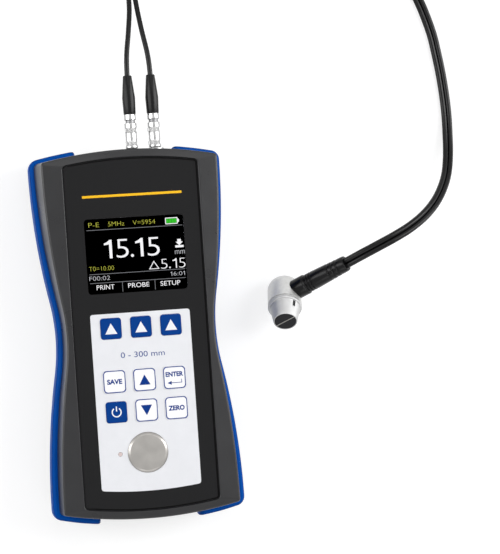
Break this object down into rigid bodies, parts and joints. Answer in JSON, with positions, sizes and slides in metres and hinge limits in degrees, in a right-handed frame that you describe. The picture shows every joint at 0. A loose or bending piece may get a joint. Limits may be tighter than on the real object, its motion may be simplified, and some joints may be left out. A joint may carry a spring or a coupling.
{
  "type": "ultrasonic thickness gauge",
  "caption": "Handheld ultrasonic wall thickness gauge with a colour display, membrane keypad, zero disc, soft side bumpers and a twin-lead dual-element probe.",
  "frame": {"origin": "middle of the gauge's flat back, on the surface it lies on", "axes": "+X across the gauge to the right, +Y along it towards the sockets, +Z out of the display"},
  "size_m": [0.2256, 0.3489, 0.0412],
  "materials": {
    "shell_grey": "fine moulded texture, dark grey",
    "bumper_blue": "soft overmould, blue",
    "label_black": "matte printed film",
    "window_clear": "clear pane",
    "display_black": "display module",
    "film_white": "satin printed film",
    "key_blue": "satin printed film",
    "steel": "turned",
    "nickel": "nickel plated, turned and knurled",
    "brass": "gold plated contacts",
    "board_green": "solder mask",
    "chip_grey": "shield cans",
    "cell_wrap": "wrapped cells",
    "cable_black": "flexible jacket",
    "boot_black": "moulded boot",
    "alloy": "bead blasted",
    "element_dark": "lapped face",
    "barrier_cork": "sound barrier",
    "lamp_clear": "light pipe",
    "gasket_black": "foam gasket",
    "screw_black": "blackened"
  },
  "bodies": {
    "housing": {"front_shell": "shell_grey", "rear_shell": "shell_grey", "bumper_left": "bumper_blue", "bumper_right": "bumper_blue", "front_label": "label_black", "display_window": "window_clear", "display_module": "display_black", "display_gasket": "gasket_black", "keypad_film": "film_white", "zero_disc": "steel", "status_lamp": "lamp_clear", "main_board": "board_green", "key_domes": "steel", "radio_module": "chip_grey", "pulser_shield": "chip_grey", "case_screws": "screw_black", "board_screws": "steel", "battery_cells": "cell_wrap", "battery_springs": "steel", "battery_plates": "steel", "socket_1": "nickel", "socket_2": "nickel", "socket_nuts": "nickel", "socket_contacts": "brass", "plug_body_1": "nickel", "plug_body_2": "nickel", "plug_nuts": "nickel", "plug_boot_1": "boot_black", "plug_boot_2": "boot_black", "plug_pins": "brass", "lead_tail_1": "cable_black", "lead_tail_2": "cable_black", "lead_splitter": "boot_black", "lead_out": "cable_black", "lead_coil": "cable_black", "lead_back": "cable_black", "probe_body": "alloy", "probe_nose": "nickel", "probe_element_1": "element_dark", "probe_element_2": "element_dark", "probe_barrier": "barrier_cork", "probe_boot": "boot_black"},
    "key_soft_left": {"key_soft_left": "key_blue"},
    "key_soft_middle": {"key_soft_middle": "key_blue"},
    "key_soft_right": {"key_soft_right": "key_blue"},
    "key_save": {"key_save": "film_white"},
    "key_up": {"key_up": "film_white"},
    "key_enter": {"key_enter": "film_white"},
    "key_power": {"key_power": "key_blue"},
    "key_down": {"key_down": "film_white"},
    "key_zero": {"key_zero": "film_white"},
    "plug_sleeve_1": {"plug_sleeve_1": "nickel"},
    "plug_sleeve_2": {"plug_sleeve_2": "nickel"},
    "battery_door": {"battery_door": "shell_grey"}
  },
  "joints": [
    {"name": "key_soft_left_press", "type": "slide", "parent": "housing", "child": "key_soft_left", "axis": [0, 0, -1], "range_m": [0, 0.0004], "stiffness_N_per_m": 4000},
    {"name": "key_soft_middle_press", "type": "slide", "parent": "housing", "child": "key_soft_middle", "axis": [0, 0, -1], "range_m": [0, 0.0004], "stiffness_N_per_m": 4000},
    {"name": "key_soft_right_press", "type": "slide", "parent": "housing", "child": "key_soft_right", "axis": [0, 0, -1], "range_m": [0, 0.0004], "stiffness_N_per_m": 4000},
    {"name": "key_save_press", "type": "slide", "parent": "housing", "child": "key_save", "axis": [0, 0, -1], "range_m": [0, 0.0004], "stiffness_N_per_m": 4000},
    {"name": "key_up_press", "type": "slide", "parent": "housing", "child": "key_up", "axis": [0, 0, -1], "range_m": [0, 0.0004], "stiffness_N_per_m": 4000},
    {"name": "key_enter_press", "type": "slide", "parent": "housing", "child": "key_enter", "axis": [0, 0, -1], "range_m": [0, 0.0004], "stiffness_N_per_m": 4000},
    {"name": "key_power_press", "type": "slide", "parent": "housing", "child": "key_power", "axis": [0, 0, -1], "range_m": [0, 0.0004], "stiffness_N_per_m": 4000},
    {"name": "key_down_press", "type": "slide", "parent": "housing", "child": "key_down", "axis": [0, 0, -1], "range_m": [0, 0.0004], "stiffness_N_per_m": 4000},
    {"name": "key_zero_press", "type": "slide", "parent": "housing", "child": "key_zero", "axis": [0, 0, -1], "range_m": [0, 0.0004], "stiffness_N_per_m": 4000},
    {"name": "plug_sleeve_1_release", "type": "slide", "parent": "housing", "child": "plug_sleeve_1", "axis": [0, 1, 0], "range_m": [0, 0.001], "stiffness_N_per_m": 4000},
    {"name": "plug_sleeve_2_release", "type": "slide", "parent": "housing", "child": "plug_sleeve_2", "axis": [0, 1, 0], "range_m": [0, 0.001], "stiffness_N_per_m": 4000},
    {"name": "battery_door_slide", "type": "slide", "parent": "housing", "child": "battery_door", "axis": [0, -1, 0], "range_m": [0, 0.06]}
  ]
}
